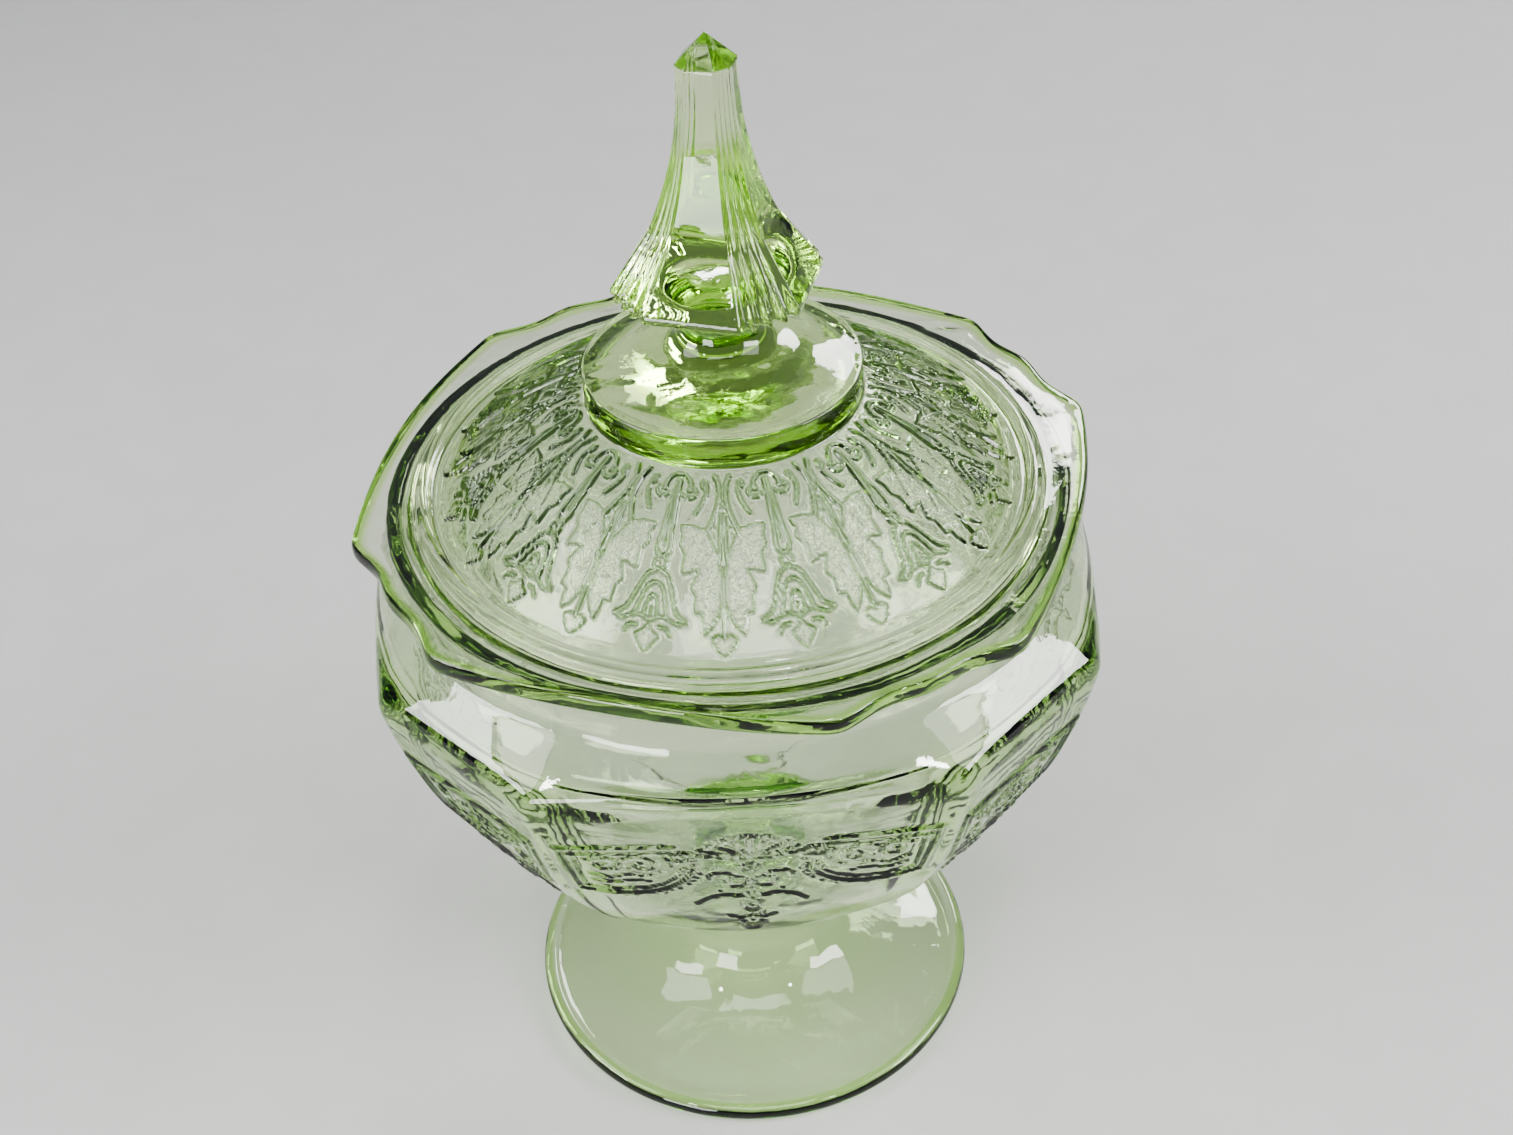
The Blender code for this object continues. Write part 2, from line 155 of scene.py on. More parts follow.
domeRelief = {  # degrees from a plume's centre (bells stand at 15), share of the way down the dome
    "strokes": [
        (0.55, 0.9, [(2.5, 0.05), (1.1, 0.12), (1.4, 0.22), (3.4, 0.33), (5.6, 0.42), (6.9, 0.50)]),
        (0.50, 0.8, [(5.6, 0.09), (5.2, 0.15), (6.2, 0.21), (8.0, 0.27)]),
        (0.50, 0.8, [(5.6, 0.09), (6.6, 0.085), (6.8, 0.115), (6.0, 0.125)]),
        (0.45, 0.9, [(0.4, 0.28), (0.8, 0.44), (1.4, 0.55), (3.3, 0.66)]),
        (0.40, 0.8, [(0.35, 0.55), (0.6, 0.70), (1.7, 0.79)]),
        (0.45, 1.0, [(0, 0.60), (0, 0.87)]),
        (0.40, 0.8, [(1.2, 0.50), (2.6, 0.45), (5.0, 0.40), (8.0, 0.37)]),
        (0.36, 0.7, [(1.6, 0.56), (3.4, 0.55), (6.0, 0.52), (8.4, 0.53)]),
        (0.36, 0.7, [(1.4, 0.66), (3.0, 0.65), (5.2, 0.63)]),
        (0.36, 0.7, [(1.0, 0.77), (2.6, 0.75), (4.6, 0.72)]),
        (0.50, 0.9, [(15, 0.045), (13.1, 0.055), (11.6, 0.075), (10.6, 0.11), (11.0, 0.15)]),
        (0.45, 0.8, [(13.3, 0.165), (11.2, 0.187), (9.2, 0.18), (8.3, 0.155), (9.0, 0.135), (9.8, 0.15)]),
        (0.45, 0.9, [(14.5, 0.09), (14.2, 0.20), (13.8, 0.35), (13.4, 0.46), (14.2, 0.50), (15, 0.505)]),
        (0.35, 0.6, [(15, 0.12), (15, 0.44)]),
        (0.45, 0.9, [(14.4, 0.575), (12.6, 0.60), (11.1, 0.68), (9.8, 0.76), (7.7, 0.80)]),
        (0.45, 0.9, [(15, 0.63), (13.4, 0.65), (12.3, 0.72), (11.6, 0.79)]),
        (0.40, 0.8, [(15, 0.69), (14.1, 0.71), (13.5, 0.79)]),
        (0.40, 0.8, [(15, 0.75), (15, 0.81)]),
        (0.40, 0.8, [(7.7, 0.80), (9.4, 0.815), (11.6, 0.79), (13.5, 0.79), (15, 0.81)]),
        (0.45, 0.8, [(12.6, 0.835), (11.2, 0.84), (10.6, 0.865)]),
    ],
    "shapes": [
        (0.45, [(1.2, 0.50), (3.2, 0.41), (4.8, 0.36), (7.7, 0.345), (11.3, 0.345), (10.2, 0.40),
                (10.8, 0.44), (9.2, 0.48), (9.3, 0.575), (7.0, 0.555), (5.2, 0.555), (6.9, 0.645),
                (5.6, 0.68), (5.9, 0.75), (4.2, 0.76), (3.8, 0.85), (2.2, 0.81), (0.9, 0.72)]),
        (0.60, [(-2.2, 0.875), (-1.0, 0.86), (0, 0.885), (1.0, 0.86), (2.2, 0.875), (1.2, 0.92),
                (0, 0.945), (-1.2, 0.92)]),
        (0.60, [(12.9, 0.875), (14.2, 0.855), (15, 0.825), (15.8, 0.855), (17.1, 0.875), (15.9, 0.915),
                (15, 0.945), (14.1, 0.915)]),
    ],
    "rings": [(1.05, 0.38, 0.9, (15, 0.535))],
    "beads": [(0.45, 1.0, (15, 0.535)), (0.50, 0.9, (2.9, 0.43)), (0.46, 0.9, (3.5, 0.472)),
              (0.42, 0.9, (4.0, 0.512)), (0.44, 0.8, (2.4, 0.385)), (0.38, 0.8, (1.9, 0.345)),
              (0.5, 0.8, (0, 0.235)), (0.42, 0.8, (0, 0.19))],
}

longPanelRelief = {  # degrees from the middle of a long side, height in millimetres
    "strokes": [
        (0.75, 1.0, [(11.5, 101.0), (28.0, 101.0)]), (0.45, 0.8, [(11.8, 99.0), (26.6, 99.0)]),
        (0.75, 1.0, [(28.0, 101.0), (27.6, 86.5)]), (0.45, 0.8, [(26.6, 99.0), (26.2, 87.6)]),
        (0.70, 1.0, [(27.6, 86.5), (24.0, 84.6), (19.0, 83.8), (14.5, 85.2), (11.0, 88.4), (9.2, 92.2)]),
        (0.40, 0.8, [(26.2, 87.6), (23.6, 86.2), (19.2, 85.5), (15.2, 86.8), (12.2, 89.6), (10.6, 93.0)]),
        (0.45, 0.8,
         [(24.8, 96.8), (22.4, 97.8), (20.4, 96.4), (20.6, 94.0), (22.6, 93.4), (23.4, 94.8), (22.4, 95.6)]),
        (0.45, 0.8,
         [(20.4, 96.4), (18.2, 97.6), (15.8, 97.0), (14.8, 94.8), (16.2, 93.2), (17.8, 94.0), (17.2, 95.4)]),
        (0.40, 0.7, [(24.6, 92.0), (22.2, 90.4), (19.4, 91.4), (16.6, 90.6), (14.0, 92.0)]),
        (0.40, 0.7, [(24.6, 89.6), (22.0, 88.4), (19.2, 89.2), (16.4, 88.6)]),
        (0.45, 0.8, [(13.4, 97.4), (12.2, 95.6), (12.8, 93.6)]),
        (0.55, 1.0, [(0, 97.2), (0, 103.4)]), (0.45, 0.9, [(0.8, 97.4), (1.8, 100.2), (3.0, 102.8)]),
        (0.45, 0.9, [(1.6, 97.2), (3.6, 99.2), (5.6, 101.2)]),
        (0.45, 0.9, [(2.2, 96.6), (4.8, 97.6), (7.2, 99.0)]),
        (0.50, 0.9,
         [(0, 104.2), (1.6, 103.4), (3.0, 103.6), (4.4, 102.0), (6.0, 101.8), (6.8, 99.8), (8.0, 99.2)]),
        (0.50, 0.9, [(0, 95.6), (2.8, 95.9), (5.4, 96.8), (8.0, 97.4)]),
        (0.45, 0.9, [(8.0, 97.4), (9.8, 98.8), (11.6, 98.2), (11.8, 96.4), (10.2, 95.6)]),
        (0.45, 0.9, [(2.6, 89.8), (4.6, 91.0), (6.6, 90.2), (7.4, 88.2)]),
        (0.50, 0.9, [(0, 82.6), (2.0, 81.4), (4.6, 81.9), (7.4, 81.0), (9.8, 78.6)]),
        (0.45, 0.9, [(0, 80.2), (1.6, 78.4), (1.2, 76.2), (0, 75.2)]),
        (0.40, 0.8, [(0, 73.4), (2.4, 72.6), (4.4, 73.6)]),
        (0.45, 0.9, [(1.8, 70.8), (1.9, 68.2), (0.9, 66.4), (0, 66.0)]),
    ],
    "shapes": [],
    "rings": [(1.7, 0.42, 0.9, (0, 92.6)), (2.1, 0.45, 1.0, (2.3, 87.0)), (1.3, 0.40, 0.9, (9.6, 96.9))],
    "beads": [(0.7, 1.0, (0, 92.6)), (0.7, 1.0, (0, 84.6)), (0.6, 0.9, (5.4, 83.4)), (0.7, 1.0, (0, 77.8)),
              (0.6, 0.9, (0, 71.0)), (0.5, 0.8, (8.6, 94.2)), (0.5, 0.8, (19.0, 93.8))],
}

shortPanelRelief = {  # degrees from the middle of a short side, height in millimetres
    "strokes": [
        (0.75, 1.0, [(0, 101.0), (13.0, 101.0)]), (0.45, 0.8, [(0, 99.0), (11.6, 99.0)]),
        (0.75, 1.0, [(13.0, 101.0), (12.6, 86.0)]), (0.45, 0.8, [(11.6, 99.0), (11.2, 87.2)]),
        (0.70, 1.0, [(12.6, 86.0), (8.0, 83.4), (4.0, 81.8), (0, 81.2)]),
        (0.40, 0.8, [(11.2, 87.2), (7.6, 85.0), (4.0, 83.6), (0, 83.0)]),
        (0.50, 0.9, [(0, 97.2), (3.4, 95.4), (5.4, 92.4), (3.4, 89.4), (0, 87.6)]),
        (0.42, 0.8, [(0, 94.8), (2.2, 93.8), (3.2, 92.2), (1.8, 90.4), (0, 89.8)]),
        (0.42, 0.8, [(9.8, 96.8), (7.6, 97.4), (6.4, 95.6), (7.8, 94.2), (9.0, 95.2)]),
        (0.42, 0.8, [(9.6, 88.8), (7.4, 88.2), (6.6, 90.2), (8.0, 91.4), (9.2, 90.4)]),
        (0.45, 0.9, [(0, 79.6), (3.2, 78.2), (6.8, 79.2), (10.2, 77.8)]),
        (0.45, 0.9, [(0, 76.6), (1.8, 74.6), (1.2, 72.2), (0, 71.2)]),
    ],
    "shapes": [],
    "rings": [(1.1, 0.40, 0.9, (0, 92.3))],
    "beads": [(0.5, 1.0, (0, 92.3)), (0.6, 0.9, (0, 85.4)), (0.6, 0.9, (0, 74.2))],
}
fringe = {"count": 15, "length": 1.5, "width": 0.34, "height": 0.8}  # short strokes below a long side's frame


def addFringe(relief, curve):
    path = smoothPath(curve, 10)
    steps = np.linspace(2, len(path) - 3, fringe["count"]).astype(int)
    for step in steps:
        along = path[step + 1] - path[step - 1]
        out = np.array([along[1], -along[0] * 0.9]) / max(np.hypot(along[0] * 1.1, along[1]), 1e-6)
        start, end = path[step], path[step] + np.array([-abs(out[0]), -abs(out[1])]) * fringe["length"]
        relief["strokes"].append((fringe["width"], fringe["height"], [tuple(start), tuple(end)]))


addFringe(longPanelRelief, longPanelRelief["strokes"][4][2])


# each solid is one quarter, made of rows of points that are joined from the top of the axis to its foot
def quarterAzimuths(columns):
    return np.linspace(-45, 45, columns + 1) * deg


def makeRow(columns, height, reach):
    azimuth = quarterAzimuths(columns)
    reach = reach(azimuth) if callable(reach) else np.full(columns + 1, float(reach))
    height = height(azimuth) if callable(height) else height
    points = np.stack([reach * np.cos(azimuth), reach * np.sin(azimuth), np.full(columns + 1, 0.0) + height], 1)
    return {"points": points, "relief": np.zeros(columns + 1), "stipple": np.zeros(columns + 1),
            "rim": np.zeros(columns + 1)}


def joinRows(name, rows, turn):  # neighbouring rows may have unlike column counts
    points, faces, starts = [], [], []
    for row in rows:
        starts.append(len(points))
        points.extend(row["points"])
    for upper, lower, rowA, rowB in zip(starts, starts[1:], rows, rows[1:]):
        countA, countB = len(rowA["points"]) - 1, len(rowB["points"]) - 1
        a = b = 0
        while a < countA or b < countB:
            nextA, nextB = (a + 1) / max(countA, 1), (b + 1) / max(countB, 1)
            if a < countA and b < countB and abs(nextA - nextB) < 1e-9:
                faces.append((upper + a, lower + b, lower + b + 1, upper + a + 1))
                a, b = a + 1, b + 1
            elif b >= countB or (a < countA and nextA < nextB):
                faces.append((upper + a, lower + b, upper + a + 1))
                a += 1
            else:
                faces.append((upper + a, lower + b, lower + b + 1))
                b += 1
    points = np.array(points)
    if turn:
        cos, sin = math.cos(turn), math.sin(turn)
        points[:, :2] = points[:, :2] @ np.array([[cos, sin], [-sin, cos]])
    mesh = bpy.data.meshes.new(name)
    mesh.from_pydata(points.tolist(), [], faces)
    for key in ("relief", "stipple", "rim"):
        layer = mesh.attributes.new(key, "FLOAT", "POINT")
        layer.data.foreach_set("value", np.concatenate([row[key] for row in rows]).astype(np.float32))
    mesh.shade_smooth()
    mesh.update()
    return mesh


def poleRow(height):
    return {"points": np.array([[0.0, 0.0, height]]), "relief": np.zeros(1), "stipple": np.zeros(1),
            "rim": np.zeros(1)}


lidSize = {  # the lid and its finial, lengths in metres
    "topHeight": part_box("lid")[1].z, "turn": -17.4 * deg,
    "cornerRadius": 68.41 * mm, "bow": 0.931, "cornerSoftness": 1.6, "notchDepth": 1.1 * mm,
    "seatHeight": 128.92 * mm, "flangeThickness": 3.0 * mm,
    # the last entry on the next line is the share of painted shade on the lip
    "lipSwell": 0.35 * mm, "lipDroop": 0.5 * mm, "lipRound": 1.2 * mm, "rimShade": 0.85,
    "ringRadius": 57.1 * mm, "ringThickness": 1.8 * mm, "ringDepth": 3.0 * mm,
    "domeRadius": 51.17 * mm, "domeRise": 18.34 * mm, "domeWall": 1.68 * mm, "beadHeight": 0.9 * mm,
    "collarRadius": 24.41 * mm, "collarHeight": 5.7 * mm, "collarRounding": 0.6 * mm,
    "capHollow": 17.09 * mm, "ceilingDrop": 1.96 * mm, "ceilingCrown": 0.15 * mm,
    "neckRadius": 7.81 * mm, "neckHeight": 15.54 * mm, "bossHeight": 4.0 * mm, "bossReach": 0.70,
    "skirtRadius": 18.8 * mm, "skirtHeight": 9.71 * mm, "skirtEdge": 1.2 * mm,
    "breakRadius": 11.62 * mm, "spireTopRadius": 5.17 * mm, "pointHeight": 4.75 * mm, "spireFlare": 2.2,
    "fluteDepth": 0.085, "fluteStart": 27 * deg, "flutesPerHalf": 2, "shaftRows": 26, "skirtRows": 12,
    "reliefHeight": 0.50 * mm, "reliefRows": 78, "reliefColumns": 168, "reliefSpan": 28.3, "lineWeight": 1.25,
    "plumeSpacing": 30,
}


def flutedShape(azimuth, depth):  # broad faces with scalloped corners between them
    shape = sideShape(azimuth, math.cos(corner) + 0.004)
    angle, start = fromLongSide(azimuth), lidSize["fluteStart"]
    place = np.clip((angle - start) / (halfQuarter - start), 0, 1)
    scallop = np.abs(np.sin(lidSize["flutesPerHalf"] * math.pi * place)) ** 0.8
    return shape * (1 - depth * scallop * (angle > start))


def lidRows(size):
    rows = []
    flangeTop = size["seatHeight"] + size["flangeThickness"]
    collarBottom = flangeTop + size["domeRise"]
    collarTop = collarBottom + size["collarHeight"]
    skirtBottom = collarTop + size["neckHeight"]
    skirtTop = skirtBottom + size["skirtEdge"] + size["skirtHeight"]
    spireTop = size["topHeight"] - size["pointHeight"]

    def spire(radius, height, depth):
        rows.append(makeRow(roundColumns, height, lambda azimuth: radius * flutedShape(azimuth, depth)))

    rows.append(poleRow(size["topHeight"]))
    for share in (0.08, 0.35, 0.65, 0.93, 0.985):
        spire(size["spireTopRadius"] * share, size["topHeight"] - size["pointHeight"] * share, 0)
    spire(size["spireTopRadius"], spireTop - 0.12 * mm, 0.01)
    shaft = spireTop - skirtTop
    for step in range(1, size["shaftRows"] + 1):
        share = step / size["shaftRows"]
        flare = share ** size["spireFlare"]
        radius = size["spireTopRadius"] + (size["breakRadius"] - size["spireTopRadius"]) * flare
        spire(radius, spireTop - shaft * share, size["fluteDepth"] * min(0.15 + 2.5 * share, 1))
    edgeHeight = skirtBottom + size["skirtEdge"]
    for step in range(1, size["skirtRows"] + 1):
        share = step / size["skirtRows"]
        radius = size["breakRadius"] + (size["skirtRadius"] - size["breakRadius"]) * share
        spire(radius, skirtTop + (edgeHeight - skirtTop) * share, size["fluteDepth"] * (1 + 0.25 * share))
    edge = size["skirtEdge"]
    for r, z in ((0.03, 0.82), (0.0, 0.55), (0.1, 0.25), (0.5, 0.0)):
        spire(size["skirtRadius"] - edge * r, skirtBottom + edge * z, size["fluteDepth"] * 1.25)
    neck = size["neckRadius"]
    for share in (0.25, 0.5, 0.75, 0.92):
        under = size["skirtRadius"] * (1 - share) + neck * share

        def reach(azimuth, under=under, share=share):
            return under * ((1 - share) * flutedShape(azimuth, size["fluteDepth"]) + share)
        rows.append(makeRow(roundColumns, skirtBottom - 0.5 * mm * share, reach))
    start = (neck, skirtBottom - 1.0 * mm)
    boss = collarTop + size["bossHeight"]
    bossEdge = (size["collarRadius"] * size["bossReach"], collarTop + size["bossHeight"] * 0.42)
    profile = [start, *bezier(start, (neck * 0.75, collarTop + 0.7 * size["neckHeight"]),
                              (neck * 0.85, boss + 0.6 * mm), (neck * 1.45, boss), 14)]
    profile += list(bezier(profile[-1], (neck * 1.75, boss - 0.3 * mm),
                           (bossEdge[0] - 2.4 * mm, bossEdge[1] + 0.8 * mm), bossEdge, 8))
    edge = size["collarRounding"]
    collar = size["collarRadius"]
    profile += list(bezier(bossEdge, (bossEdge[0] + 2.4 * mm, bossEdge[1] - 0.8 * mm),
                           (collar - 2.4 * mm, collarTop), (collar - edge, collarTop), 8))
    profile += list(arc((collar - edge, collarTop - edge), edge, 90, 0, 5))
    profile += list(line(profile[-1], (collar, collarBottom + 0.5 * mm), 5))
    for radius, height in profile:
        rows.append(makeRow(roundColumns if radius < collar * 0.8 else edgeColumns, height, radius))

    # the dome carries the relief
    domeFoot = (size["domeRadius"], flangeTop + size["beadHeight"])
    dome = bezier((collar, collarBottom), (collar * 1.42, collarBottom - size["domeRise"] * 0.20),
                  (size["domeRadius"] * 0.87, domeFoot[1] + size["domeRise"] * 0.30), domeFoot,
                  size["reliefRows"])
    dome = np.vstack([[(collar + 0.12 * mm, collarBottom + 0.1 * mm)], dome])
    along = np.concatenate([[0], np.cumsum(np.hypot(*np.diff(dome, axis=0).T))]) / mm
    span = size["reliefSpan"]
    shares = (dome[:, 0] / mm - collar / mm) / span
    columns = size["reliefColumns"]
    spacing = size["plumeSpacing"]
    folded = np.abs((quarterAzimuths(columns) / deg + 45 + spacing / 2) % spacing - spacing / 2)
    x = np.radians(folded)[None, :] * (dome[:, 0] / mm)[:, None]
    y = np.repeat(along[:, None], columns + 1, 1)

    def place(angle, share):
        radius = collar / mm + share * span
        return math.radians(angle) * radius, float(np.interp(share, shares, along))
    height, stipple = drawRelief(x, y, place, size["lineWeight"], **domeRelief)
    for index, (radius, level) in enumerate(dome):
        row = makeRow(columns, level, radius)
        row["relief"], row["stipple"] = height[index], stipple[index]
        rows.append(row)

    # bead lines, the flange and its thick wavy lip
    ring = size["ringRadius"]
    gap = ring - size["domeRadius"]
    bead = size["beadHeight"]
    groove = [(size["domeRadius"] + gap * s, flangeTop + bead * h) for s, h in
              ((0.08, 0.72), (0.18, 0.25), (0.30, 0.02), (0.38, 0.10), (0.45, 0.6), (0.53, 0.97),
               (0.62, 1.08), (0.72, 1.0), (0.82, 0.62), (0.92, 0.18), (1.0, 0.02))]
    for radius, level in groove:
        rows.append(makeRow(edgeColumns, level, radius))

    def lipRow(share, inset, rise, columns=edgeColumns):
        def reach(azimuth):
            along = np.clip((fromLongSide(azimuth) - corner) / (halfQuarter - corner), 0, 1)
            notch = size["notchDepth"] * np.sin(math.pi * along) ** 2
            lip = size["cornerRadius"] * softShape(azimuth, size["bow"], size["cornerSoftness"]) - notch - inset
            return ring * (1 - share) + lip * share

        def level(azimuth):
            droop = size["lipDroop"] * np.cos((fromLongSide(azimuth) - corner) * 6)
            return rise - droop * max(share - 0.45, 0) ** 1.5 * 2.2
        rows.append(makeRow(columns, level, reach))
    for share in (0.2, 0.4, 0.55, 0.68, 0.78):
        lipRow(share, size["lipRound"], flangeTop)
    swell = size["lipSwell"]
    half = size["flangeThickness"] / 2
    lipRow(0.88, size["lipRound"], flangeTop + swell * 0.5)
    for angle in range(90, -91, -15):
        inset = (1 - max(math.cos(angle * deg), 0) ** 0.6) * size["lipRound"]
        rise = math.copysign(abs(math.sin(angle * deg)) ** 0.8, angle)
        lipRow(1, inset, flangeTop - half + rise * (half + (swell if angle > 0 else 0)))
        # painted shade: the lip's outer rows are darkened to a deeper green in the base colour
        rows[-1]["rim"] += size["rimShade"]
    for share in (0.85, 0.7, 0.5, 0.25):
        lipRow(share, 1.5 * mm, size["seatHeight"], roundColumns)
    inner = ring - size["ringThickness"]
    seat = size["seatHeight"]
    down = seat - size["ringDepth"]
    under = [(ring, seat), (ring - 0.1 * mm, seat - 0.9 * mm), (ring - 0.3 * mm, down + 0.4 * mm),
             (ring - 0.6 * mm, down + 0.05 * mm), (inner + 0.6 * mm, down),
             (inner + 0.15 * mm, down + 0.3 * mm), (inner - 0.1 * mm, seat - 0.9 * mm),
             (inner - 0.5 * mm, seat - 0.1 * mm)]
    footRadius = size["domeRadius"] - size["domeWall"]
    under += list(line(under[-1], (footRadius, seat), 3))
    ceiling = collarBottom - size["ceilingDrop"]
    under += list(bezier((footRadius, seat), (size["domeRadius"] * 0.84, seat + size["domeRise"] * 0.34),
                         (size["capHollow"] * 1.75, ceiling - size["domeRise"] * 0.06),
                         (size["capHollow"], ceiling), 24))
    for radius, level in under:
        rows.append(makeRow(roundColumns, level, radius))
    for radius in (0.75, 0.45, 0.15):
        level = ceiling + size["ceilingCrown"] * (1 - radius)
        rows.append(makeRow(roundColumns // 2, level, size["capHollow"] * radius))
    rows.append(poleRow(ceiling + size["ceilingCrown"]))
    return rows


bowlSize = {  # the bowl and its foot, lengths in metres
    "rimHeight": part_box("footed_bowl")[1].z, "rimRadius": 61.8 * mm, "rimRounding": 0.9 * mm,
    "bandBottom": 122.22 * mm,
    "shoulderRadius": 72.7 * mm, "shoulderHeight": 112.86 * mm, "shoulderRounding": 3.2 * mm,
    "shoulderBow": 0.912, "bodyBow": 0.890, "cornerSoftness": 1.1, "innerRoundness": 0.45, "innerSoftness": 5,
    "panelTop": 97.97 * mm, "panelBottom": 88.05 * mm, "roundHeight": 50.07 * mm, "floorHeight": 44.02 * mm,
    "wall": 2.8 * mm, "stemRadius": 13.95 * mm, "stemFillet": 2.6 * mm, "stemWall": 4.5 * mm,
    # the last entry on the next line is the share of painted shade on the foot's rim
    "footRadius": 46.5 * mm, "footRim": 3.4 * mm, "footBead": 1.95 * mm, "rimShade": 0.75,
    "footLand": 2.8 * mm, "hollowHeight": 29.94 * mm, "coreRadius": 30 * mm, "sideSteps": 800,
    "reliefHeight": 0.50 * mm, "reliefTop": 104.6, "reliefFoot": 64.5, "reliefRows": 75, "reliefColumns": 164,
    "lineWeight": 1.1, "seamAngle": -28.6, "seamWidth": 0.35 * mm, "seamHeight": 0.35,
}


def bowlRows(size):
    shoulder = (size["shoulderRadius"], size["shoulderHeight"])
    depth = shoulder[1] - size["floorHeight"]

    def shapeAt(height):  # how round the outline is, and how bowed its long sides are
        rise = smoothStep((height - size["panelTop"]) / (shoulder[1] - size["panelTop"]))
        bow = size["bodyBow"] + (size["shoulderBow"] - size["bodyBow"]) * rise
        if height > shoulder[1]:
            return min((height - shoulder[1]) / (size["bandBottom"] - shoulder[1]), 1), bow
        return smoothStep((size["panelBottom"] - height) / (size["panelBottom"] - size["roundHeight"])), bow

    def bodyRow(columns, radius, height, level=None):
        roundness, bow = shapeAt(height)

        def reach(azimuth):
            return radius * (roundness + (1 - roundness) * softShape(azimuth, bow, size["cornerSoftness"]))
        return makeRow(columns, height if level is None else level, reach)

    edge = size["rimRounding"]
    rim = (size["rimRadius"], size["rimHeight"])
    roof = [(rim[0] - edge, rim[1])] + list(arc((rim[0] - edge, rim[1] - edge), edge, 90, 0, 4))
    roof += list(line(roof[-1], (rim[0], size["bandBottom"] + 0.3 * mm), 5))
    roof += list(line((rim[0] + 0.25 * mm, size["bandBottom"] - 0.25 * mm), shoulder, 10))[:-1]
    soft = size["shoulderRounding"]
    roofSlope = np.array([shoulder[0] - rim[0], shoulder[1] - size["bandBottom"]])
    roofSlope = roofSlope / np.hypot(*roofSlope)
    side = bezier(shoulder, (shoulder[0] * 0.93, shoulder[1] - depth * 0.45),
                  (shoulder[0] * 0.69, size["floorHeight"]), (shoulder[0] * 0.06, size["floorHeight"]),
                  size["sideSteps"])
    length = np.concatenate([[0], np.cumsum(np.hypot(*np.diff(side, axis=0).T))]) / mm

    def atLength(value):
        return np.array([np.interp(value, length, side[:, 0]), np.interp(value, length, side[:, 1])])
    reliefStart = float(np.interp(-size["reliefTop"], -side[:, 1] / mm, length))
    reliefEnd = float(np.interp(-size["reliefFoot"], -side[:, 1] / mm, length))
    joinRadius = size["stemRadius"] + size["stemFillet"]
    lowEnd = float(np.interp(-joinRadius, -side[:, 0], length))
    roof = [point for point in roof
            if np.hypot(*(np.array(point) - shoulder)) > soft or point[1] > size["bandBottom"] - mm]
    start, after = np.array(shoulder) - roofSlope * soft, atLength(soft / mm)
    rounded = bezier(start, start / 3 + np.array(shoulder) * 2 / 3, after / 3 + np.array(shoulder) * 2 / 3,
                     after, 12)
    upper = [start, *rounded, *[atLength(v) for v in np.linspace(soft / mm, reliefStart, 8)[1:]]]
    relief = [atLength(v) for v in np.linspace(reliefStart, reliefEnd, size["reliefRows"] + 1)[1:]]
    lower = [atLength(v) for v in np.linspace(reliefEnd, lowEnd, 20)[1:]]

    outer = []  # rows from the rim down to the stem, then the foot
    for point in [*roof, *upper]:
        outer.append(bodyRow(edgeColumns, *point))
    along = np.interp([-p[1] / mm for p in relief], -side[:, 1] / mm, length)
    reach = np.array([p[0] / mm for p in relief])
    columns = size["reliefColumns"]
    angles = quarterAzimuths(columns) / deg
    onShort = np.abs(angles) > 30
    folded = np.where(onShort, 45 - np.abs(angles), np.abs(angles))
    x = np.radians(folded)[None, :] * reach[:, None]
    y = np.repeat(along[:, None], columns + 1, 1)

    def place(angle, level):
        radius = np.interp(-level, -side[:, 1] / mm, side[:, 0] / mm)
        return math.radians(angle) * float(radius), float(np.interp(-level, -side[:, 1] / mm, length))
    longHeight = drawRelief(x, y, place, size["lineWeight"], **longPanelRelief)[0]
    shortHeight = drawRelief(x, y, place, size["lineWeight"], **shortPanelRelief)[0]
    height = np.where(onShort[None, :], shortHeight, longHeight)
    for index, point in enumerate(relief):
        row = bodyRow(columns, *point)
        row["relief"] = height[index]
        outer.append(row)
    for point in lower:
        outer.append(bodyRow(edgeColumns, *point))
    for row in outer:  # the mould's seam, a fine line down the side
        azimuth = quarterAzimuths(len(row["points"]) - 1) / deg
        reach = np.hypot(row["points"][:, 0], row["points"][:, 1])
        distance = np.abs(azimuth - size["seamAngle"]) * deg * reach
        row["relief"] = np.maximum(row["relief"], size["seamHeight"] * ridge(distance, size["seamWidth"] * 1.6))

    # stem, foot, the land that it stands on, and the hollow
    stem = size["stemRadius"]
    fillet = size["stemFillet"]
    joinHeight = lower[-1][1]
    foot = list(bezier(lower[-1], (stem + fillet * 0.35, joinHeight - 0.1 * mm),
                       (stem, joinHeight - fillet * 0.4), (stem, joinHeight - fillet), 6))
    bead = size["footBead"]
    footEdge = size["footRadius"] - bead
    foot += list(bezier(foot[-1], (stem * 0.93, size["floorHeight"] * 0.30),
                        (stem * 1.45, size["footRim"] * 2.2),
                        (footEdge - 1.5 * mm, size["footRim"] - 0.5 * mm), 26))
    foot += list(arc((footEdge, bead), bead, 135, -90, 13))
    land = (footEdge - size["footLand"], 0)
    foot += list(line((footEdge, 0), land, 3))
    hollow = stem - size["stemWall"]
    crown = (0, size["hollowHeight"] - hollow)
    foot += list(bezier(land, (stem * 1.30, size["footRim"] * 1.1),
                        (hollow * 1.05, size["hollowHeight"] * 0.30), (hollow, crown[1]), 18))
    foot += list(arc(crown, hollow, 0, 90, 8))[:-1]
    for radius, level in foot:
        row = makeRow(roundColumns, level, radius)
        if radius > footEdge and level > bead * 0.7:
            row["rim"] += size["rimShade"]  # painted shade: the thick rim is darkened to a deeper green, as if the light inside it were bent away
        outer.append(row)

